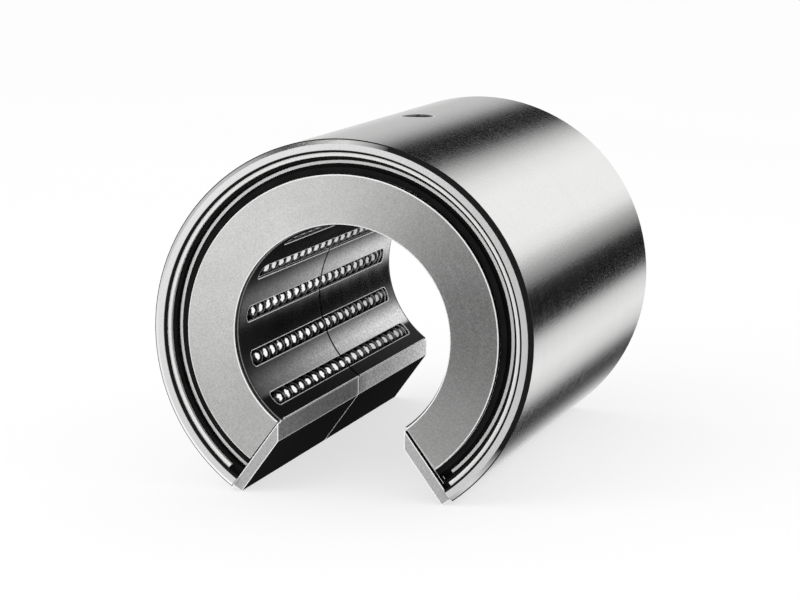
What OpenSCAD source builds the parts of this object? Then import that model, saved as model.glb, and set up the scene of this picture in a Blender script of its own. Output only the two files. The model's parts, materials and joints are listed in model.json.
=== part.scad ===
// Open linear ball bushing with radial ball return, for a shaft on a support rail.
// The bushing axis is Y, its front end points to -Y, and the opening faces down (-Z).
// The origin is on the bushing axis, half way between the two end faces.

/* [Sleeve] */
// Outside diameter of the steel sleeve
sleeve_d = 90; // [90:0.5:96]
// Length over the sleeve's two end faces
sleeve_len = 125; // [110:5:160]
// Bore diameter of the sleeve, around the cage
sleeve_bore_d = 81.2; // [81.2:0.1:81.8]
// Diameter of the recess that takes the seal at each end
seal_recess_d = 83.8; // [83.6:0.1:84.2]
// Chamfer on the sleeve's outer edges
outer_chamfer = 1.1; // [0.4:0.1:1.4]
// Chamfer on the mouth of each seal recess
mouth_chamfer = 0.6; // [0.2:0.1:0.6]
// Diameter of the radial locating hole, opposite the opening
locating_hole_d = 7; // [4:0.5:8]
// Chamfer round the mouth of the locating hole
hole_chamfer = 0.5; // [0.2:0.1:0.6]

/* [Opening] */
// Angle of the opening, seen from the bushing axis
opening_angle = 72; // [71:0.5:73]
// Clear width between the two side walls of the opening
opening_w = 30.1; // [29.6:0.1:30.6]
// Thickness of the side walls that line the opening
side_wall_t = 2.6; // [2.2:0.1:2.8]

/* [Balls] */
// Diameter of a ball
ball_d = 5; // [4.9:0.01:5]
// Distance from one ball to the next along the track
ball_pitch = 5.3; // [5.3:0.01:5.35]
// Diameter of the circle that touches the loaded balls, which is the shaft size
shaft_d = 50; // [50:0.02:50.1]
// Angle from one ball circuit to the next
circuit_step = 24; // [24:0.5:25]

/* [Cage] */
// Bore diameter of the cage
cage_bore_d = 50.3; // [50.2:0.1:50.4]
// Width of the windows that the loaded balls look through
window_w = 3.75; // [3.4:0.05:4]
// Diameter of the channel that the balls run in
channel_d = 5.2; // [5.15:0.01:5.25]

/* [End washers] */
// Bore diameter of the end washers
washer_bore_d = 51.1; // [50.8:0.1:51.4]
// Outside diameter of the end washers
washer_d = 73.8; // [73.4:0.1:74]
// Thickness of the end washers
washer_t = 2; // [1.6:0.1:2]

/* [Rings] */
// Thickness of the snap rings, along the axis
snap_ring_t = 1.2; // [1:0.1:1.3]
// Width of the snap rings, from their inner edge to their outer edge
snap_ring_w = 1.7; // [1.5:0.1:1.8]
// Inner diameter of the support rings in the seals
support_ring_d = 78.4; // [77.6:0.2:79]

/* [Hidden] */
$fn = 96;
ball_fn = 32;

// Small gaps between neighbours
ring_gap = 0.02;
fit_gap = 0.05;
seam_gap = 0.2;
slip_gap = 0.1;
seal_gap = 0.12;

// How far a cutting shape reaches past the surface that it cuts
cover = 1;

// Circuits, counted clockwise from the front, with none in the opening
plate_overhang = 1;
circuit_n = floor((360 - opening_angle + 2 * plate_overhang) / circuit_step);
turn_balls = 3;
end_zone = 24;
row_balls = floor((sleeve_len - end_zone) / ball_pitch);
track_half = row_balls * ball_pitch / 2;
turn_bend_r = turn_balls * ball_pitch / PI;
turn_channel_d = channel_d + slip_gap;
load_r = (shaft_d + ball_d) / 2;
turn_r = load_r + turn_bend_r;
return_r = load_r + 2 * turn_bend_r;

// Bearing plates and the pockets that hold them
plate_w = 9.2;
plate_low_r = 28.2;
pocket_w = plate_w + 2 * fit_gap;
pocket_low_r = plate_low_r - fit_gap;

// Levels along the axis, measured from the middle of the bushing towards the front
washer_inset = 0.86;
snap_inset = 1.6;
seal_shelf_t = 2.3;
seal_foot_t = 0.45;
seal_trough_h = 1.65;
window_overrun = 4.05;
sleeve_end = sleeve_len / 2;
washer_face = sleeve_end - washer_inset;
cage_end = washer_face - washer_t - fit_gap;
seal_floor = cage_end - seal_shelf_t;
snap_level = sleeve_end - snap_inset;
seal_face = snap_level - snap_ring_t / 2 - fit_gap;
trough_floor = seal_face - seal_trough_h;
recess_floor = seal_floor - seal_foot_t;
window_half = track_half + window_overrun;

// Radii around the axis
side_wall_inset = 0.6;
cage_r = sleeve_bore_d / 2 - slip_gap;
side_wall_r = sleeve_d / 2 - side_wall_inset;
snap_show = 0.9;
snap_edge = 0.15;
snap_inner_r = seal_recess_d / 2 - snap_show;
snap_outer_r = snap_inner_r + snap_ring_w;
groove_r = snap_outer_r + slip_gap;
groove_w = snap_ring_t + slip_gap;
seal_lip_t = 1.4;
seal_rim_t = 1.5;
seal_inner_r = washer_d / 2 + seal_gap;
seal_outer_r = seal_recess_d / 2 - fit_gap;
seal_foot_r = cage_r + seal_gap;
seal_lip_r = seal_inner_r + seal_lip_t;
seal_rim_r = seal_outer_r - seal_rim_t;
support_r = support_ring_d / 2;
support_t = 0.7;
support_h = 0.6;
support_proud = 0.1;

// Half angles of the gaps in the split rings, and how far each ring has crept round
open_half = opening_angle / 2;
disc_inset = 0.5;
disc_half = open_half + disc_inset;
washer_half = open_half + 1;
washer_creep = 0.45;
snap_half = 39.4;
snap_creep = -0.9;
support_half = 38.5;
support_creep = 1.8;
washer_edge = 0.22;
far = 3 * sleeve_d;

function two_digits(i) = str(i < 10 ? "0" : "", i);
function circuit_angle(i) = (i - (circuit_n + 1) / 2) * circuit_step;
function node_of(part, i) = str(part, "_", two_digits(i));

BALL_GROUPS = ["load_balls", "return_balls", "front_turn_balls", "rear_turn_balls"];

// ---- frames: end parts are drawn with +Z to the front, and +Y up ----

module to_front() rotate([90, 0, 0]) children();

module to_rear() rotate([90, 0, 180]) mirror([1, 0, 0]) children();

module at_circuit(i) rotate([0, 0, -circuit_angle(i)]) children();

// ---- flat shapes across the axis ----

module ring_2d(outer_r, inner_r) {
    difference() {
        circle(r = outer_r);
        circle(r = inner_r);
    }
}

module gap_2d(half) {
    polygon([[0, 0], [far * sin(half), -far * cos(half)], [-far * sin(half), -far * cos(half)]]);
}

module split_ring_2d(outer_r, inner_r, half) {
    difference() {
        ring_2d(outer_r, inner_r);
        gap_2d(half);
    }
}

// A wall along each radial face of the opening, its back sunk by root into the ring
module side_walls_2d(outer_r, root) {
    for (side = [0, 1])
        mirror([side, 0])
            difference() {
                intersection() {
                    circle(r = outer_r);
                    rotate(open_half - 90)
                        translate([0, -side_wall_t])
                            square([far, side_wall_t + root]);
                }
                circle(r = cage_bore_d / 2);
                translate([-far, -far])
                    square([far + opening_w / 2, 2 * far]);
            }
}

// ---- sleeve ----

module sleeve_profile() {
    difference() {
        translate([sleeve_bore_d / 2, -sleeve_end])
            square([(sleeve_d - sleeve_bore_d) / 2, sleeve_len]);
        for (end = [0, 1])
            mirror([0, end]) {
                translate([0, recess_floor])
                    square([seal_recess_d / 2, far]);
                polygon([
                    [seal_recess_d / 2 - cover, sleeve_end - mouth_chamfer - cover],
                    [seal_recess_d / 2 + mouth_chamfer + cover, sleeve_end + cover],
                    [seal_recess_d / 2 - cover, sleeve_end + cover]
                ]);
                polygon([
                    [sleeve_d / 2 - outer_chamfer - cover, sleeve_end + cover],
                    [sleeve_d / 2 + cover, sleeve_end - outer_chamfer - cover],
                    [sleeve_d / 2 + cover, sleeve_end + cover]
                ]);
                translate([0, snap_level - groove_w / 2])
                    square([groove_r, groove_w]);
            }
    }
}

module outer_sleeve() {
    color("silver")
        to_front()
            difference() {
                rotate_extrude()
                    sleeve_profile();
                linear_extrude(sleeve_len + 2 * cover, center = true)
                    gap_2d(open_half);
                rotate([-90, 0, 0]) {
                    cylinder(d = locating_hole_d, h = sleeve_d);
                    translate([0, 0, sleeve_d / 2 - hole_chamfer - cover])
                        cylinder(
                            d1 = locating_hole_d - 2 * cover,
                            d2 = locating_hole_d + 2 * (hole_chamfer + cover),
                            h = hole_chamfer + 2 * cover
                        );
                }
            }
}

// ---- cage ----

module half_turn(tube_d) {
    translate([0, turn_r, track_half])
        rotate([90, 0, -90])
            rotate_extrude(angle = 180)
                translate([turn_bend_r, 0])
                    circle(d = tube_d, $fn = ball_fn);
}

module window_2d() {
    square([window_w, 2 * window_half - window_w], center = true);
    for (end = [-1, 1])
        translate([0, end * (window_half - window_w / 2)])
            circle(d = window_w, $fn = ball_fn);
}

module circuit_cut() {
    translate([0, load_r - ball_d, 0])
        rotate([-90, 0, 0])
            linear_extrude(ball_d)
                window_2d();
    translate([0, load_r, -cover])
        cylinder(d = channel_d, h = track_half + cover, $fn = ball_fn);
    half_turn(turn_channel_d);
    translate([-pocket_w / 2, pocket_low_r, -cover])
        cube([pocket_w, cage_r, track_half + cover]);
}

module cage_blank() {
    translate([0, 0, seam_gap / 2]) {
        linear_extrude(cage_end - seam_gap / 2) {
            split_ring_2d(cage_r, cage_bore_d / 2, open_half);
            side_walls_2d(cage_r, cover);
        }
        linear_extrude(washer_face - seam_gap / 2)
            side_walls_2d(side_wall_r, -fit_gap);
    }
}

module cage_half() {
    color("dimgray")
        difference() {
            cage_blank();
            for (i = [1:circuit_n])
                at_circuit(i)
                    circuit_cut();
            translate([0, 0, seal_floor])
                linear_extrude(far)
                    split_ring_2d(cage_r + cover, washer_d / 2 + fit_gap, open_half);
        }
}

module front_cage_half() to_front() cage_half();

module rear_cage_half() to_rear() cage_half();

// ---- bearing plates ----

module bearing_plate() {
    difference() {
        intersection() {
            translate([-plate_w / 2, plate_low_r, fit_gap - track_half])
                cube([plate_w, sleeve_d, 2 * (track_half - fit_gap)]);
            cylinder(r = sleeve_bore_d / 2 - fit_gap, h = sleeve_len, center = true);
        }
        for (row_r = [load_r, return_r])
            translate([0, row_r, 0])
                cylinder(d = channel_d, h = sleeve_len, center = true, $fn = ball_fn);
        translate([-channel_d / 2, return_r, -sleeve_end])
            cube([channel_d, sleeve_d, sleeve_len]);
    }
}

module bearing_plates() {
    color("lightsteelblue")
        to_front()
            for (i = [1:circuit_n])
                at_circuit(i)
                    bearing_plate();
}

// ---- end washers, seals and rings ----

module end_washer() {
    color("darkgray")
        difference() {
            rotate_extrude()
                polygon([
                    [washer_bore_d / 2, washer_face - washer_t],
                    [washer_d / 2, washer_face - washer_t],
                    [washer_d / 2, washer_face - washer_edge],
                    [washer_d / 2 - washer_edge, washer_face],
                    [washer_bore_d / 2 + washer_edge, washer_face],
                    [washer_bore_d / 2, washer_face - washer_edge]
                ]);
            translate([0, 0, washer_face - sleeve_end])
                linear_extrude(sleeve_len)
                    rotate(washer_creep)
                        gap_2d(washer_half);
        }
}

module seal() {
    color([0.08, 0.08, 0.08])
        difference() {
            rotate_extrude()
                polygon([
                    [seal_inner_r, seal_floor + fit_gap],
                    [seal_foot_r, seal_floor + fit_gap],
                    [seal_foot_r, recess_floor + fit_gap],
                    [seal_outer_r, recess_floor + fit_gap],
                    [seal_outer_r, seal_face],
                    [seal_rim_r, seal_face],
                    [seal_rim_r, trough_floor],
                    [seal_lip_r, trough_floor],
                    [seal_lip_r, seal_face],
                    [seal_inner_r, seal_face]
                ]);
            translate([0, 0, trough_floor - support_h])
                linear_extrude(far)
                    ring_2d(support_r + support_t + ring_gap, support_r - ring_gap);
            linear_extrude(far)
                gap_2d(disc_half);
        }
}

module support_ring() {
    color("gainsboro")
        translate([0, 0, trough_floor - support_h + ring_gap])
            linear_extrude(support_h + support_proud)
                rotate(support_creep)
                    split_ring_2d(support_r + support_t, support_r, support_half);
}

module snap_section() {
    intersection() {
        translate([snap_inner_r, -snap_ring_t / 2])
            square([snap_ring_w, snap_ring_t]);
        translate([snap_inner_r + snap_ring_w / 2, 0])
            rotate(45)
                square((snap_ring_w + snap_ring_t - 2 * snap_edge) / sqrt(2), center = true);
    }
}

module snap_ring() {
    color("white")
        translate([0, 0, snap_level])
            rotate(snap_creep)
                difference() {
                    rotate_extrude()
                        snap_section();
                    linear_extrude(sleeve_len, center = true)
                        gap_2d(snap_half);
                }
}

module front_end_washer() to_front() end_washer();

module rear_end_washer() to_rear() end_washer();

module front_seal() to_front() seal();

module rear_seal() to_rear() seal();

module front_support_ring() to_front() support_ring();

module rear_support_ring() to_rear() support_ring();

module front_snap_ring() to_front() snap_ring();

module rear_snap_ring() to_rear() snap_ring();

// ---- balls: a straight row under load, a straight row going back, and a turn at each end ----

module ball() {
    color("whitesmoke")
        sphere(d = ball_d, $fn = ball_fn);
}

module straight_row(row_r) {
    for (k = [1:row_balls])
        translate([0, row_r, (k - (row_balls + 1) / 2) * ball_pitch])
            ball();
}

module turn_row() {
    for (k = [1:turn_balls]) {
        turned = (k - 0.5) * 180 / turn_balls;
        translate([0, turn_r - turn_bend_r * cos(turned), track_half + turn_bend_r * sin(turned)])
            ball();
    }
}

module load_balls(i) to_front() at_circuit(i) straight_row(load_r);

module return_balls(i) to_front() at_circuit(i) straight_row(return_r);

module front_turn_balls(i) to_front() at_circuit(i) turn_row();

module rear_turn_balls(i) to_rear() at_circuit(i) turn_row();

outer_sleeve();
front_cage_half();
rear_cage_half();
bearing_plates();
front_end_washer();
rear_end_washer();
front_seal();
rear_seal();
front_support_ring();
rear_support_ring();
front_snap_ring();
rear_snap_ring();
for (i = [1:circuit_n]) {
    load_balls(i);
    return_balls(i);
    front_turn_balls(i);
    rear_turn_balls(i);
}
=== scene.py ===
"""Open linear ball bushing: materials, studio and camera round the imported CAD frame."""

import json
import math

import bpy
from mathutils import Matrix, Vector


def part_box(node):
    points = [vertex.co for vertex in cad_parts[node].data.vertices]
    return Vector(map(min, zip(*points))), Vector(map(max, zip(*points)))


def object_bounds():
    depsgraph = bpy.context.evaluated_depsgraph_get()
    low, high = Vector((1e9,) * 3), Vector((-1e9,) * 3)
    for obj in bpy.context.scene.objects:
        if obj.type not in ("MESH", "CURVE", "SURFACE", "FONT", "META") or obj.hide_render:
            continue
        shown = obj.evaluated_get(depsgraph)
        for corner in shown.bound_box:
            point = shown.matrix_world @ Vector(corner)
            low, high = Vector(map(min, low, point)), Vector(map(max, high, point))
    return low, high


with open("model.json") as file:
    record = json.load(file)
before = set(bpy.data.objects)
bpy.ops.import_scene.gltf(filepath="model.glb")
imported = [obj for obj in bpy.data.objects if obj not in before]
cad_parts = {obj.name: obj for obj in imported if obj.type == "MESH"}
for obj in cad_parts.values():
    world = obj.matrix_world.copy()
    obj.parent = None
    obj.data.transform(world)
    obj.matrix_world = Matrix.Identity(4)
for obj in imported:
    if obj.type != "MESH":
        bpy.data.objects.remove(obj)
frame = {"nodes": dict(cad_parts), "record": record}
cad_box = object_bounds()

MM = 0.001

# ---- the view: where the camera stands, as angles and distances round the bushing ----

VIEW_AZIMUTH = math.radians(16.5)
VIEW_ELEVATION = math.radians(8.7)
VIEW_ROLL = math.radians(0.2)
VIEW_DISTANCE = 708.8 * MM
VIEW_AIM = Vector((-4.27 * MM, 0.0, -0.79 * MM))
LENS = 128.99
SENSOR = 36.0
NEAREST_SEEN = 0.01
FARTHEST_SEEN = 50.0

# ---- the studio ----
# Long panels stand parallel to the shaft, and are seen only in reflections; the flag beside them is
# only a painted dark reflection on the sleeve's chamfers.
# Each stop is (angle round the shaft axis in degrees, from +Z towards +X, brightness).

PANELS = (
    (-180.0, 0.02),
    (-171.0, 0.07),
    (-158.0, 0.40),
    (-146.0, 0.78),
    (-134.0, 1.05),
    (-110.0, 0.92),
    (-97.0, 0.86),
    (-85.0, 0.65),
    (-78.0, 0.58),
    (-60.0, 0.55),
    (-48.0, 0.40),
    (-41.0, 0.15),
    (-36.0, 0.02),
    (-28.0, 0.008),
    (-19.0, 0.01),
    (-13.0, 0.05),
    (-2.0, 0.44),
    (11.0, 0.78),
    (25.0, 0.89),
    (58.0, 0.88),
    (67.0, 0.79),
    (78.0, 0.40),
    (86.0, 0.21),
    (91.5, 0.03),
    (101.0, 0.008),
    (115.0, 0.012),
    (119.5, 0.32),
    (125.0, 0.68),
    (142.0, 0.86),
    (158.0, 0.66),
    (171.0, 0.045),
)
# In front of the bushing the panels stand round a point beside the shaft axis, given as (X, Z) of a
# direction. Each stop is (angle round that point, brightness).
FRONT_MIDDLE = (-0.30, -0.163)
FRONT_PANELS = (
    (-180.0, 0.57),
    (-120.0, 0.62),
    (-80.0, 0.81),
    (-45.0, 0.95),
    (-20.0, 0.91),
    (0.0, 0.79),
    (20.0, 0.60),
    (40.0, 0.38),
    (60.0, 0.26),
    (80.0, 0.16),
    (100.0, 0.25),
    (120.0, 0.35),
    (140.0, 0.46),
)
# A ray belongs to the front panels once its direction leans this far along -Y.
FRONT_LEAN = -0.55
FRONT_SOFT = 0.20
# A ray that leans only a little along -Y meets an even panel on the left. On the right the world
# shows the panels there, and the flag is only a painted dark reflection on the sleeve's chamfers.
FLAG_TURN = (math.radians(-8.0), math.radians(172.0))
FLAG_TURN_SOFT = math.radians(8.0)
FLAG_LEAN = (-0.42, -0.06)
FLAG_LEAN_SOFT = 0.04
EDGE_PANEL = 0.85

AMBIENT = 1.05
BACKDROP = 1.0
FLOOR_HALF_WIDTH = 3.0
FLOOR_GLOW = 0.72
FLOOR_TONES = (0.955, 0.975)
FLOOR_PATCH = 0.25
KEY_PLACE = (-0.5, -0.7, 0.7)
KEY_SIZE = (0.8, 0.8)
KEY_POWER = 2.5

# ---- places on the bushing where the look changes: radii and distances from mid length ----

SLEEVE_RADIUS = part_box("outer_sleeve")[1].x
SLEEVE_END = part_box("outer_sleeve")[1].y
SLEEVE_CORNER = SLEEVE_END - 1.1 * MM
SLEEVE_CHAMFER_RADIUS = 43.4 * MM
# The sleeve's end recesses lie inside this radius and beyond this distance, and are painted dark as
# shade.
RECESS_RADIUS = 42.52 * MM
RECESS_START = 56.0 * MM
# The locating hole is painted dark as shade inside, its chamfer nearly so, and its rim gets a
# painted highlight.
HOLE_RADIUS = 3.58 * MM
HOLE_CHAMFER_RADIUS = 4.05 * MM
HOLE_RIM = (4.0 * MM, 4.3 * MM)
# Only places above this height belong to the locating hole.
HOLE_SIDE_HEIGHT = 30.0 * MM
WASHER_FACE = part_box("rear_end_washer")[1].y
# Inside this radius the washer's bore wall is painted dark, as a painted reflection of the bore.
WASHER_WALL = 25.55 * MM
BORE_RADIUS = 25.0 * MM
BORE_WALL = 25.45 * MM
BORE_END = 58.6 * MM
SEAM_HALF_WIDTH = 0.55 * MM
# Above this height the cage's edges get no painted highlight or glow, so its seam stays dark in the
# locating hole.
CAGE_EDGE_HEIGHT = 36.0 * MM

# ---- surfaces ----

# The values that most of a noise lies between, and those that part one patch from the next.
NOISE_SPAN = (0.3, 0.7)
PATCH_SPAN = (0.35, 0.68)
# How well the rounded and the true normal agree, where a point is no edge and where it is one.
EDGE_AGREEMENT = (0.998, 0.90)
# How nearly a normal is square to the shaft axis before it is made exactly square.
NEARLY_SQUARE = (0.9990, 0.9995)
# In a noise for lines, a radian round the shaft counts as no more than this length.
LINE_SQUEEZE = 0.8 * MM
# With any length here, highlights are drawn out along the shaft on round faces, and outwards on
# end faces.
TANGENT_ALONG = 50.0 * MM

FINE_LINE = 0.16 * MM
BROAD_LINE = 1.4 * MM
STAIN = 9.0 * MM
# Pale edges stand both for wear and for a painted edge highlight.
WORN_AND_HIGHLIT_COLOUR = (0.95, 0.95, 0.94)
WORN_AND_HIGHLIT_EDGE = 0.95
WORN_AND_HIGHLIT_METAL = 0.15

# The grey of a face that mirrors only shade; it is also the painted shade on the sleeve and on the
# cage's cut faces.
DARK = 0.012
# The painted glint, a glowing spot, reaches this far round the way between the eye and the shaft on
# each ball, and less far along the row.
GLINT_EDGE = 0.40
GLINT_SOFT = 0.06
GLINT_WAVER = 0.14
GLINT_SQUEEZE = 2.0
# The painted glints fade with depth along the shaft, and again with height.
GLINT_DEPTHS = (-15.0 * MM, 62.0 * MM)
GLINT_FAR = 0.35
GLINT_HEIGHTS = (9.0 * MM, 22.0 * MM)
GLINT_HIGH = 0.30

# The grey of the matt steps beside the opening, from the near end to the far end: painted light,
# darker near and lighter far.
STEP_PAINTED_LIGHT = ((0.0, 0.22), (0.48, 0.28), (0.56, 0.72), (1.0, 0.92))
BORE_GRAIN = 0.5 * MM
BORE_GRAIN_LENGTH = 2.5
# How much the bore mirrors, along the view from the near end to the far end: a painted reflection
# strength, weaker at the near end as if in shade.
BORE_PAINTED_SHINE_BY_DEPTH = (
    (0.0, 0.07), (0.10, 0.15), (0.26, 0.26), (0.42, 0.43), (0.58, 0.60), (0.74, 0.78), (0.90, 0.88),
)
# How much the bore mirrors, by height in millimetres: painted shade and light, darker at some
# heights.
BORE_PAINTED_SHINE_BY_HEIGHT = (
    (-16.8, 0.03), (-16.1, 0.04), (-15.3, 0.95), (-13.3, 1.0), (-11.8, 0.72), (-10.2, 0.40),
    (-8.6, 0.30), (-2.5, 0.60), (1.0, 0.70), (5.2, 1.0), (6.9, 0.90), (8.6, 0.65), (10.2, 0.42),
    (14.8, 0.18), (18.7, 0.07), (25.0, 0.10),
)


def grey(level):
    return (level, level, level, 1.0)


def tint(colour):
    return (*colour, 1.0)


class Graph:
    """A shader node tree, with short calls to add and join its nodes."""

    def __init__(self, owner):
        owner.use_nodes = True
        self.tree = owner.node_tree
        self.tree.nodes.clear()

    def feed(self, socket, value):
        if isinstance(value, bpy.types.NodeSocket):
            self.tree.links.new(value, socket)
        else:
            socket.default_value = value

    def add(self, kind, inputs=None, **settings):
        node = self.tree.nodes.new("ShaderNode" + kind)
        for name, value in settings.items():
            setattr(node, name, value)
        for name, value in (inputs or {}).items():
            self.feed(node.inputs[name], value)
        return node

    def show(self, shader, output="OutputMaterial"):
        """End the tree with a shader."""
        self.feed(self.add(output).inputs["Surface"], shader.outputs[0])

    def math(self, operation, first, second=0.0, clamp=False):
        node = self.add("Math", {0: first, 1: second}, operation=operation, use_clamp=clamp)
        return node.outputs[0]

    def times(self, first, *others):
        for other in others:
            first = self.math("MULTIPLY", first, other)
        return first

    def either(self, first, *others):
        """One where any of the marks is one."""
        for other in others:
            first = self.math("MAXIMUM", first, other)
        return first

    def inverse(self, mark):
        return self.math("SUBTRACT", 1.0, mark)

    def length(self, first, second):
        squares = [self.math("POWER", part, 2.0) for part in (first, second)]
        return self.math("SQRT", self.math("ADD", *squares))

    def vector(self, x, y, z):
        return self.add("CombineXYZ", {"X": x, "Y": y, "Z": z}).outputs[0]

    def parts(self, vector):
        """The outputs X, Y and Z of a vector."""
        return self.add("SeparateXYZ", {"Vector": vector}).outputs

    def vector_math(self, operation, first, second=None, output="Vector"):
        inputs = {0: first} if second is None else {0: first, 1: second}
        return self.add("VectorMath", inputs, operation=operation).outputs[output]

    def scaled(self, vector, factor):
        node = self.add("VectorMath", {0: vector, "Scale": factor}, operation="SCALE")
        return node.outputs["Vector"]

    def spread(self, value, low, high, to_low=0.0, to_high=1.0):
        """The value, from low to high, mapped on to_low to to_high and held there beyond."""
        node = self.add(
            "MapRange",
            {"Value": value, "From Min": low, "From Max": high, "To Min": to_low, "To Max": to_high},
        )
        return node.outputs["Result"]

    def above(self, value, limit, soft):
        """Zero up to the limit, and one from soft beyond it."""
        return self.spread(value, limit, limit + soft)

    def below(self, value, limit, soft):
        """Zero down to the limit, and one from soft below it."""
        return self.spread(value, limit, limit - soft)

    def band(self, value, low, high, soft):
        """One between low and high, and zero outside, with soft edges."""
        rise = self.spread(value, low - soft, low + soft)
        fall = self.spread(value, high + soft, high - soft)
        return self.math("MULTIPLY", rise, fall)

    def fade(self, mark, first, second):
        """First where the mark is zero, and second where it is one."""
        return self.spread(mark, 0.0, 1.0, first, second)

    def vary(self, noise, low, high):
        """The noise, as a number from low to high."""
        return self.spread(noise, *NOISE_SPAN, low, high)

    def around(self, angle, stops):
        """The level of the stops, given in degrees, at an angle in radians."""
        turned = [((degrees + 180.0) / 360.0, level) for degrees, level in stops]
        return self.ramp(self.spread(angle, -math.pi, math.pi), turned + [(1.0, stops[0][1])])

    def ramp(self, factor, stops):
        node = self.add("ValToRGB", {"Fac": factor})
        elements = node.color_ramp.elements
        while len(elements) < len(stops):
            elements.new(1.0)
        for element, (place, level) in zip(elements, stops):
            element.position = place
            element.color = grey(level)
        return node.outputs["Color"]

    def mix(self, factor, first, second):
        node = self.add("Mix", {0: factor, 6: first, 7: second}, data_type="RGBA")
        return node.outputs[2]

    def tinted(self, colour, tone):
        node = self.add("Mix", {0: 1.0, 6: colour, 7: tone}, data_type="RGBA", blend_type="MULTIPLY")
        return node.outputs[2]

    def noise(self, place, size, detail=2.0):
        node = self.add("TexNoise", {"Vector": place, "Scale": 1.0 / size, "Detail": detail})
        return node.outputs["Fac"]

    def bump(self, height, depth, normal):
        node = self.add(
            "Bump", {"Height": height, "Distance": depth, "Strength": 1.0, "Normal": normal}
        )
        return node.outputs["Normal"]

    def edge_flag(self, turn, lean):
        """Whether a ray meets the flag beside the front panels, by its turn and by its lean."""
        turned = self.band(turn, *FLAG_TURN, FLAG_TURN_SOFT)
        leaning = self.band(lean, *FLAG_LEAN, FLAG_LEAN_SOFT)
        return turned, leaning


def make_world():
    """A pale room. Shiny surfaces see the panels, and rough ones see an even light; the flag is only
    painted into the sleeve's chamfers.
    """
    world = bpy.data.worlds.new("studio")
    bpy.context.scene.world = world
    graph = Graph(world)
    ray = graph.parts(graph.add("TexCoord").outputs["Generated"])
    turn = graph.math("ARCTAN2", ray["X"], ray["Z"])
    turned, leaning = graph.edge_flag(turn, ray["Y"])
    beside = graph.times(leaning, graph.inverse(turned))
    sides = graph.mix(beside, graph.around(turn, PANELS), grey(EDGE_PANEL))
    across = graph.math("SUBTRACT", ray["X"], FRONT_MIDDLE[0])
    above = graph.math("SUBTRACT", ray["Z"], FRONT_MIDDLE[1])
    front = graph.around(graph.math("ARCTAN2", across, above), FRONT_PANELS)
    glossy = graph.mix(graph.below(ray["Y"], FRONT_LEAN, FRONT_SOFT), sides, front)
    kind = graph.add("LightPath").outputs
    even = graph.mix(kind["Is Camera Ray"], grey(AMBIENT), grey(BACKDROP))
    seen = graph.mix(kind["Is Glossy Ray"], even, glossy)
    graph.show(graph.add("Background", {"Color": seen, "Strength": 1.0}), "OutputWorld")
    world.cycles.sampling_method = "NONE"


class Surface:
    """A material in the making: where a point is, which way it faces and from where it is seen."""

    def __init__(self, name):
        self.material = bpy.data.materials.new(name)
        self.graph = Graph(self.material)
        graph = self.graph
        self.place = graph.add("TexCoord").outputs["Object"]
        parts = graph.parts(self.place)
        self.across, self.along, self.height = parts["X"], parts["Y"], parts["Z"]
        self.radius = graph.length(self.across, self.height)
        self.from_middle = graph.math("ABSOLUTE", self.along)
        self.tangent = graph.vector(self.across, TANGENT_ALONG, self.height)
        geometry = graph.add("NewGeometry").outputs
        self.shape = geometry["Normal"]
        self.incoming = geometry["Incoming"]
        facing = graph.parts(self.shape)
        self.faces_side = graph.math("ABSOLUTE", facing["X"])
        self.faces_end = graph.math("ABSOLUTE", facing["Y"])

    def lines(self):
        """A place for noise whose spots are drawn out into lines round the shaft."""
        graph = self.graph
        turn = graph.math("ARCTAN2", self.across, self.height)
        return graph.vector(self.radius, graph.math("MULTIPLY", turn, LINE_SQUEEZE), self.along)

    def drawn_out(self, length):
        """A place for noise whose spots are this many times longer along the shaft than across."""
        graph = self.graph
        return graph.vector(
            self.across, graph.math("MULTIPLY", self.along, 1.0 / length), self.height
        )

    def outward(self):
        """The direction straight out from the shaft axis."""
        graph = self.graph
        return graph.vector_math("NORMALIZE", graph.vector(self.across, 0.0, self.height))

    def depth(self):
        """How far the point lies beyond mid length along the shaft, as the eye looks."""
        graph = self.graph
        return graph.times(graph.parts(self.incoming)["Y"], -1.0, self.along)

    def edges(self, radius):
        """The normal of the shape with its edges rounded, and how much each point is an edge."""
        graph = self.graph
        rounded = graph.add("Bevel", {"Radius": radius}, samples=6).outputs["Normal"]
        agreement = graph.vector_math("DOT_PRODUCT", rounded, self.shape, "Value")
        return self.trued(rounded), graph.spread(agreement, *EDGE_AGREEMENT)

    def trued(self, normal):
        """The normal, turned exactly square to the shaft axis wherever it nearly is."""
        graph = self.graph
        outward = self.outward()
        lean = graph.vector_math("DOT_PRODUCT", normal, outward, "Value")
        squared = graph.scaled(outward, graph.math("SIGN", lean))
        nearly = graph.spread(graph.math("ABSOLUTE", lean), *NEARLY_SQUARE)
        mixed = graph.add("Mix", {0: nearly, 4: normal, 5: squared}, data_type="VECTOR")
        return mixed.outputs[1]

    def finish(self, **inputs):
        """A principled shader; an underscore in an input's name stands for a space."""
        named = {name.replace("_", " "): value for name, value in inputs.items()}
        self.graph.show(self.graph.add("BsdfPrincipled", named))
        return self.material


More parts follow.
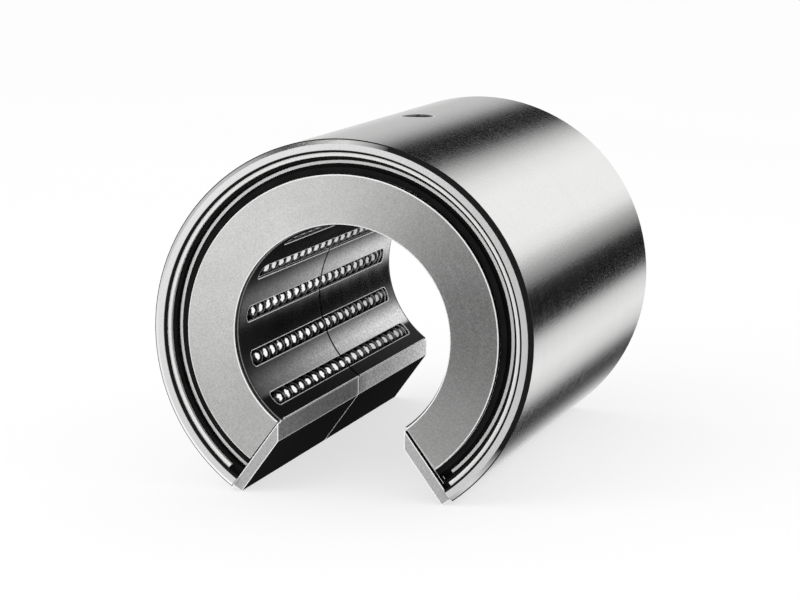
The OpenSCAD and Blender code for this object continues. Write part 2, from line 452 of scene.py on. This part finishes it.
def steel(name, colour, shade, rough, anisotropy=0.0, line=0.0, grain=0.0, grain_size=0.3 * MM,
          grain_length=1.0, mottle=0.06, edge=0.2 * MM, metal=1.0, dome=0.0, zones=None):
    """Steel with turned or ground lines, a fine grain, faint stains and bright edges that stand for
    wear and for a painted highlight.
    """
    surface = Surface(name)
    graph = surface.graph
    lines = surface.lines()
    fine_lines = graph.noise(lines, FINE_LINE, 3.0)
    broad_lines = graph.noise(lines, BROAD_LINE, 2.0)
    fine_grain = graph.noise(surface.drawn_out(grain_length), grain_size, 3.0)
    stains = graph.noise(surface.place, STAIN, 4.0)
    rounded, is_edge = surface.edges(edge)
    patches = graph.mix(graph.spread(stains, *PATCH_SPAN), tint(colour), tint(shade))
    toned = graph.tinted(patches, graph.vary(fine_grain, 1.0 - mottle, 1.0 + mottle))
    # Edges are lightened and made less metallic: wear and a painted highlight.
    worn_and_highlit = graph.mix(graph.times(is_edge, WORN_AND_HIGHLIT_EDGE), toned, tint(WORN_AND_HIGHLIT_COLOUR))
    metallic = graph.times(graph.fade(is_edge, 1.0, WORN_AND_HIGHLIT_METAL), metal)
    specular = 0.5
    if zones:
        worn_and_highlit, metallic, specular = zones(surface, worn_and_highlit, metallic)
    lines_rough = graph.vary(broad_lines, rough * 0.88, rough * 1.14)
    grain_rough = graph.vary(fine_grain, -0.03, 0.03)
    relief = graph.math("ADD", graph.times(fine_lines, line), graph.times(fine_grain, grain))
    relief = graph.math("ADD", relief, graph.times(surface.radius, -dome))
    return surface.finish(
        Base_Color=worn_and_highlit, Metallic=metallic, Anisotropic=anisotropy, Tangent=surface.tangent,
        Roughness=graph.math("ADD", lines_rough, grain_rough, clamp=True),
        Normal=graph.bump(relief, 1.0, rounded), Specular_IOR_Level=specular,
    )


def meets_flag(surface):
    """Whether the ray mirrored in the shape meets the flag beside the front panels; there the
    chamfers get a painted dark reflection.
    """
    graph = surface.graph
    mirrored = graph.vector_math("REFLECT", surface.incoming, surface.shape)
    ray = graph.parts(graph.scaled(mirrored, -1.0))
    return graph.times(*graph.edge_flag(graph.math("ARCTAN2", ray["X"], ray["Z"]), ray["Y"]))


def sleeve_zones(surface, colour, metallic):
    """Pale end faces; painted shade in the recesses, the hole and along the corner line; a painted
    highlight on the hole's rim; a painted dark reflection on the chamfers.
    """
    graph = surface.graph
    is_end = graph.above(surface.faces_end, 0.9, 0.08)
    # Painted shade in the end recesses.
    in_recess = graph.times(
        graph.below(surface.radius, RECESS_RADIUS, 0.1 * MM),
        graph.above(surface.from_middle, RECESS_START, 0.4 * MM),
    )
    # A painted dark line of shade along the outer corner.
    on_corner = graph.times(
        graph.above(surface.radius, SLEEVE_RADIUS - 0.3 * MM, 0.06 * MM),
        graph.above(surface.from_middle, SLEEVE_CORNER - 0.06 * MM, 0.06 * MM),
    )
    # Where the chamfer mirrors the flag it gets a painted dark reflection.
    on_chamfer = graph.times(
        graph.band(surface.faces_end, 0.25, 0.93, 0.05),
        graph.above(surface.radius, SLEEVE_CHAMFER_RADIUS, 0.2 * MM),
    )
    # Painted shade in the hole and on its chamfer, and a painted highlight on its rim.
    from_hole = graph.length(surface.across, surface.along)
    hole_side = graph.above(surface.height, HOLE_SIDE_HEIGHT, 4.0 * MM)
    in_hole = graph.times(graph.below(from_hole, HOLE_RADIUS, 0.1 * MM), hole_side)
    hole_chamfer = graph.times(graph.below(from_hole, HOLE_CHAMFER_RADIUS, 0.1 * MM), hole_side)
    hole_rim = graph.times(graph.band(from_hole, *HOLE_RIM, 0.04 * MM), hole_side)
    # Everything in this mask is painted dark, standing for shade or for a dark reflection.
    dark = graph.either(in_recess, in_hole, on_corner, graph.times(meets_flag(surface), on_chamfer))
    colour = graph.mix(is_end, colour, grey(0.76))
    colour = graph.mix(hole_rim, colour, grey(0.95))
    colour = graph.mix(hole_chamfer, colour, grey(0.09))
    colour = graph.mix(dark, colour, grey(DARK))
    metallic = graph.fade(is_end, metallic, 0.5)
    metallic = graph.fade(graph.either(hole_rim, hole_chamfer), metallic, 0.1)
    metallic = graph.fade(dark, metallic, 0.0)
    return colour, metallic, graph.fade(dark, 0.5, 0.0)


def washer_zones(surface, colour, metallic):
    """The wall of the washer's bore is painted dark, a painted reflection of the dark bore, and its
    chamfered front edges get a painted highlight.
    """
    graph = surface.graph
    # Painted dark reflection on the wall of the washer's bore.
    dark = graph.times(
        graph.below(surface.radius, WASHER_WALL + 0.05 * MM, 0.05 * MM),
        graph.below(surface.from_middle, WASHER_FACE - 0.2 * MM, 0.1 * MM),
    )
    # Painted highlight on the washer's chamfers.
    chamfer = graph.band(surface.faces_end, 0.3, 0.93, 0.04)
    colour = graph.mix(chamfer, colour, grey(0.97))
    colour = graph.mix(dark, colour, grey(0.02))
    metallic = graph.fade(graph.either(dark, chamfer), metallic, 0.0)
    return colour, metallic, graph.fade(dark, 0.5, 0.1)


def glint(surface, polish):
    """One glowing white painted highlight on each ball, between the ways to the eye and to the
    shaft.
    """
    graph = surface.graph
    between = graph.vector_math("SUBTRACT", surface.incoming, surface.outward())
    between = graph.vector_math("NORMALIZE", between)
    away = graph.vector_math("SUBTRACT", surface.shape, between)
    apart = graph.vector_math("LENGTH", away, output="Value")
    along = graph.parts(away)["Y"]
    stretched = graph.length(graph.times(along, GLINT_SQUEEZE), apart)
    wavering = graph.math("ADD", stretched, graph.vary(polish, -GLINT_WAVER, GLINT_WAVER))
    spot = graph.spread(wavering, GLINT_EDGE + GLINT_SOFT, GLINT_EDGE - GLINT_SOFT)
    farther = graph.spread(surface.depth(), *GLINT_DEPTHS, 1.0, GLINT_FAR)
    higher = graph.spread(surface.height, *GLINT_HEIGHTS, 1.0, GLINT_HIGH)
    return graph.times(spot, farther, higher)


def ball_steel(name):
    """Polished balls painted near black, a painted reflection of the dark channel, with one glowing
    painted highlight towards the shaft.
    """
    surface = Surface(name)
    graph = surface.graph
    polish = graph.noise(surface.place, 0.6 * MM, 3.0)
    scuffs = graph.noise(surface.place, 2.2 * MM, 2.0)
    # The near black base is painted shade: the balls are darkened as if they mirrored only the dark
    # channel.
    tone = graph.mix(graph.spread(scuffs, *PATCH_SPAN), grey(0.04), grey(0.07))
    # The glint is emitted light, a painted highlight, not the reflection of a lamp.
    return surface.finish(
        Base_Color=tone, Metallic=0.9, Roughness=graph.vary(polish, 0.14, 0.22),
        Normal=graph.bump(polish, 0.002 * MM, surface.shape),
        Emission_Color=grey(0.95), Emission_Strength=glint(surface, polish),
    )


def cage_painted_shine(surface, far, in_bore):
    """How much the cage mirrors, painted to stand for light and shade: only in the bore, more at the
    far end, less at some heights, with a drawn-out grain.
    """
    graph = surface.graph
    up = graph.spread(surface.height, -BORE_RADIUS, BORE_RADIUS)
    places = [(0.5 + 0.5 * height * MM / BORE_RADIUS, level) for height, level in BORE_PAINTED_SHINE_BY_HEIGHT]
    grain = graph.noise(surface.drawn_out(BORE_GRAIN_LENGTH), BORE_GRAIN, 3.0)
    return graph.times(
        graph.ramp(far, BORE_PAINTED_SHINE_BY_DEPTH), graph.ramp(up, places), in_bore, graph.vary(grain, 0.78, 1.22)
    )


def cage_plastic(name):
    """Dark moulded plastic, glossy in the bore with painted reflection strength, with matt grey
    steps under painted light, cut faces in painted shade, and edges with a glowing painted
    highlight.
    """
    surface = Surface(name)
    graph = surface.graph
    flow = graph.noise(surface.place, 6.0 * MM, 3.0)
    speckle = graph.noise(surface.place, 0.45 * MM, 3.0)
    rounded, is_edge = surface.edges(0.42 * MM)
    in_bore = graph.below(surface.radius, BORE_WALL, 0.15 * MM)
    at_ends = graph.times(graph.above(surface.from_middle, BORE_END, 0.3 * MM), in_bore)
    at_seam = graph.times(graph.below(surface.from_middle, SEAM_HALF_WIDTH, 0.1 * MM), in_bore)
    low_enough = graph.below(surface.height, CAGE_EDGE_HEIGHT, 2.0 * MM)
    is_edge = graph.times(is_edge, graph.inverse(graph.either(at_ends, at_seam)), low_enough)

    far = graph.spread(surface.depth(), -SLEEVE_END, SLEEVE_END)
    # The steps get painted light: darker at the near end, lighter at the far end, as the eye looks.
    step = graph.tinted(graph.ramp(far, STEP_PAINTED_LIGHT), graph.vary(speckle, 0.6, 1.4))
    end = graph.tinted(grey(0.38), graph.vary(speckle, 0.82, 1.18))
    # Faces beside the opening that don't face sideways get painted shade.
    wall = graph.mix(graph.above(surface.faces_side, 0.95, 0.04), grey(DARK), step)
    wall = graph.mix(graph.above(surface.faces_end, 0.9, 0.08), wall, end)
    tone = graph.mix(in_bore, wall, grey(DARK))
    # Edges get a painted highlight: near white, and glowing in the matt shader.
    painted_edge_tone = graph.mix(graph.times(is_edge, 0.9), tone, grey(0.95))
    normal = graph.bump(speckle, 0.004 * MM, rounded)
    matt = graph.add("BsdfPrincipled", {
        "Base Color": painted_edge_tone, "Roughness": 0.5, "Specular IOR Level": 0.0, "Normal": normal,
        "Emission Color": grey(1.0), "Emission Strength": graph.times(is_edge, 0.5),
    })
    mirror = graph.add("BsdfPrincipled", {
        "Base Color": grey(0.92), "Metallic": 1.0, "Normal": normal, "Anisotropic": 0.4,
        "Roughness": graph.vary(flow, 0.12, 0.18), "Tangent": surface.tangent,
    })
    # How much the bore mirrors is painted: weaker at the near end and at some heights, standing for
    # shade.
    painted_shine = graph.times(
        cage_painted_shine(surface, far, in_bore), graph.inverse(is_edge), graph.inverse(at_seam)
    )
    graph.show(graph.add("MixShader", {0: painted_shine, 1: matt.outputs[0], 2: mirror.outputs[0]}))
    return surface.material


def seal_rubber(name):
    """Matt black rubber with a fine moulded grain."""
    surface = Surface(name)
    graph = surface.graph
    grain = graph.noise(surface.place, 0.25 * MM, 3.0)
    bloom = graph.noise(surface.place, 5.0 * MM, 3.0)
    return surface.finish(
        Base_Color=graph.mix(graph.spread(bloom, 0.35, 0.7), grey(0.004), grey(0.008)),
        Roughness=graph.vary(grain, 0.55, 0.75), Specular_IOR_Level=0.15,
        Normal=graph.bump(grain, 0.02 * MM, surface.shape),
    )


def make_materials():
    """One material for each slot that the record names."""
    return {
        "sleeve_steel": steel(
            "ground_sleeve", (0.93, 0.93, 0.92), (0.91, 0.91, 0.90), 0.10,
            anisotropy=0.7, line=0.0008 * MM, grain=0.010 * MM, grain_size=0.45 * MM,
            grain_length=2.5, mottle=0.05, zones=sleeve_zones,
        ),
        "washer_steel": steel(
            "blasted_washer", (0.72, 0.72, 0.715), (0.68, 0.68, 0.67), 0.17,
            line=0.0005 * MM, grain=0.005 * MM, mottle=0.14, edge=0.25 * MM, dome=0.08,
            zones=washer_zones,
        ),
        "track_steel": steel(
            "ground_track", (0.62, 0.63, 0.64), (0.58, 0.59, 0.60), 0.2,
            anisotropy=0.5, line=0.001 * MM,
        ),
        "spring_steel": steel(
            "flat_spring", (0.94, 0.94, 0.93), (0.90, 0.90, 0.89), 0.22,
            line=0.0006 * MM, mottle=0.03, edge=0.12 * MM, metal=0.4,
        ),
        "ball_steel": ball_steel("polished_ball"),
        "cage_plastic": cage_plastic("moulded_cage"),
        "seal_rubber": seal_rubber("moulded_rubber"),
    }


def dress_nodes(materials):
    """Each CAD node takes the material that the record names for it."""
    for subpart in frame["record"]["subparts"]:
        node = frame["nodes"][subpart["node"]]
        for place in node.material_slots:
            place.material = materials[subpart["material_slot"]]


def add_object(name, data):
    added = bpy.data.objects.new(name, data)
    bpy.context.scene.collection.objects.link(added)
    return added


def make_floor():
    """A wide pale floor under the lowest point of the bushing."""
    bottom = cad_box[0].z
    signs = ((-1, -1), (1, -1), (1, 1), (-1, 1))
    corners = [(x * FLOOR_HALF_WIDTH, y * FLOOR_HALF_WIDTH, bottom) for x, y in signs]
    mesh = bpy.data.meshes.new("floor")
    mesh.from_pydata(corners, [], [(0, 1, 2, 3)])
    floor = add_object("floor", mesh)
    material = bpy.data.materials.new("pale_floor")
    graph = Graph(material)
    patches = graph.noise(graph.add("TexCoord").outputs["Object"], FLOOR_PATCH)
    tone = graph.mix(patches, *[grey(level) for level in FLOOR_TONES])
    matt = graph.add("BsdfDiffuse", {"Color": tone})
    glow = graph.add("Emission", {"Color": tone, "Strength": 1.0})
    graph.show(graph.add("MixShader", {0: FLOOR_GLOW, 1: matt.outputs[0], 2: glow.outputs[0]}))
    mesh.materials.append(material)
    floor.visible_glossy = False


def make_key_lamp():
    """One soft square lamp that looks at the bushing and stays out of reflections."""
    data = bpy.data.lights.new("key_lamp", "AREA")
    data.shape = "RECTANGLE"
    data.size, data.size_y = KEY_SIZE
    data.energy = KEY_POWER
    lamp = add_object("key_lamp", data)
    place = Vector(KEY_PLACE)
    turned = (-place).to_track_quat("-Z", "Y").to_matrix().to_4x4()
    lamp.matrix_world = Matrix.Translation(place) @ turned
    lamp.visible_camera = False
    lamp.visible_glossy = False


def make_camera():
    """A camera at the view's angles and distance, rolled a little about its own axis."""
    azimuth, elevation = VIEW_AZIMUTH, VIEW_ELEVATION
    back = Vector((
        math.sin(azimuth) * math.cos(elevation),
        -math.cos(azimuth) * math.cos(elevation),
        math.sin(elevation),
    ))
    level = Vector((math.cos(azimuth), math.sin(azimuth), 0.0))
    above = back.cross(level)
    right = math.cos(VIEW_ROLL) * level + math.sin(VIEW_ROLL) * above
    up = math.cos(VIEW_ROLL) * above - math.sin(VIEW_ROLL) * level
    data = bpy.data.cameras.new("camera")
    data.lens = LENS
    data.sensor_width = SENSOR
    data.clip_start = NEAREST_SEEN
    data.clip_end = FARTHEST_SEEN
    camera = add_object("camera", data)
    turned = Matrix((right, up, back)).transposed().to_4x4()
    camera.matrix_world = Matrix.Translation(VIEW_AIM + back * VIEW_DISTANCE) @ turned
    bpy.context.scene.camera = camera


make_world()
dress_nodes(make_materials())
make_floor()
make_key_lamp()
make_camera()
bpy.context.scene.view_settings.view_transform = "Standard"
